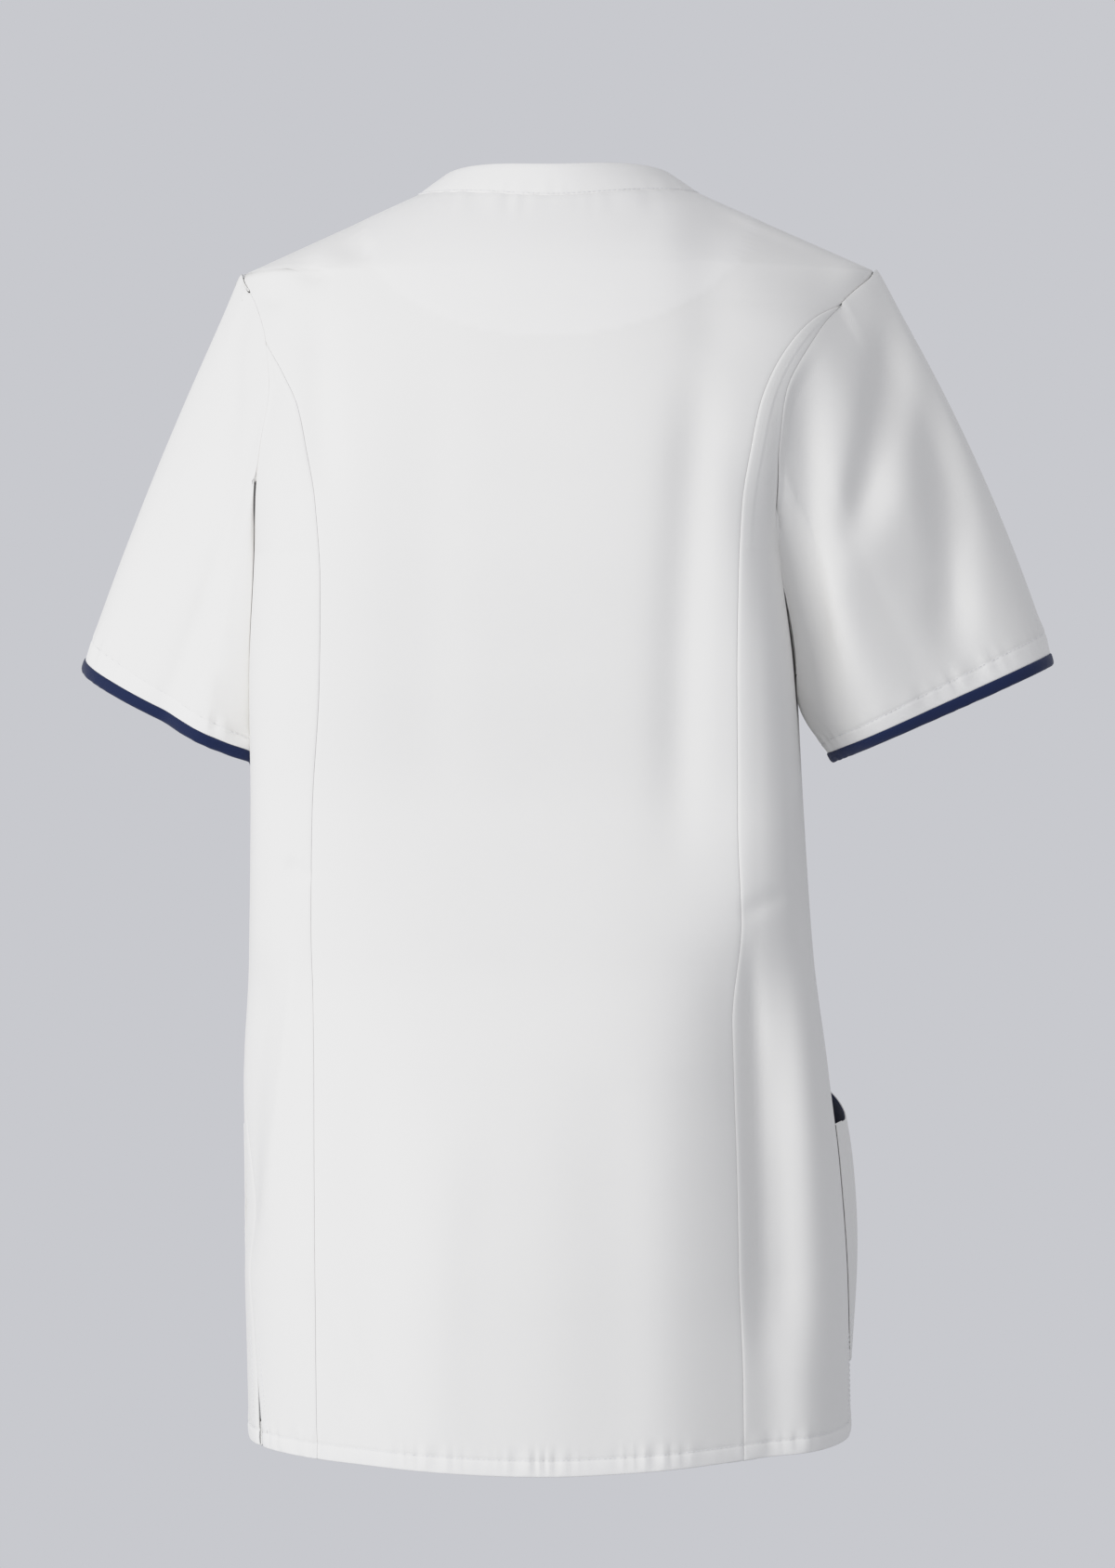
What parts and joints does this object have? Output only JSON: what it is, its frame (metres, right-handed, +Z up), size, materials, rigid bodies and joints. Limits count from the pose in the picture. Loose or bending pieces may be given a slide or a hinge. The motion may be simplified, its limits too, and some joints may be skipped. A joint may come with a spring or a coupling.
{
  "type": "work tunic",
  "caption": "Women's short-sleeved work tunic with a princess-seamed back, narrow neckband, V-neck front, contrast cuff bindings and patch pockets, hollow as worn.",
  "frame": {"origin": "the middle of the neck, level with the two points where the shoulder seams meet the neckband, where the wearer's neck and shoulders hold the tunic up", "axes": "+Z up, the wearer faces -Y, the wearer's left is +X"},
  "size_m": [0.601, 0.261, 0.7824],
  "materials": {
    "white_twill": "matt white polyester and cotton twill",
    "navy_twill": "matt navy polyester and cotton twill"
  },
  "bodies": {
    "root": {"back_centre": "white_twill", "back_side_left": "white_twill", "back_side_right": "white_twill", "front": "white_twill", "neckband": "white_twill", "back_neck_facing": "white_twill", "sleeve_left": "white_twill", "sleeve_right": "white_twill", "cuff_binding_left": "navy_twill", "cuff_binding_right": "navy_twill", "pocket_left": "white_twill", "pocket_right": "white_twill", "pocket_facing_left": "navy_twill", "pocket_facing_right": "navy_twill"}
  },
  "joints": []
}
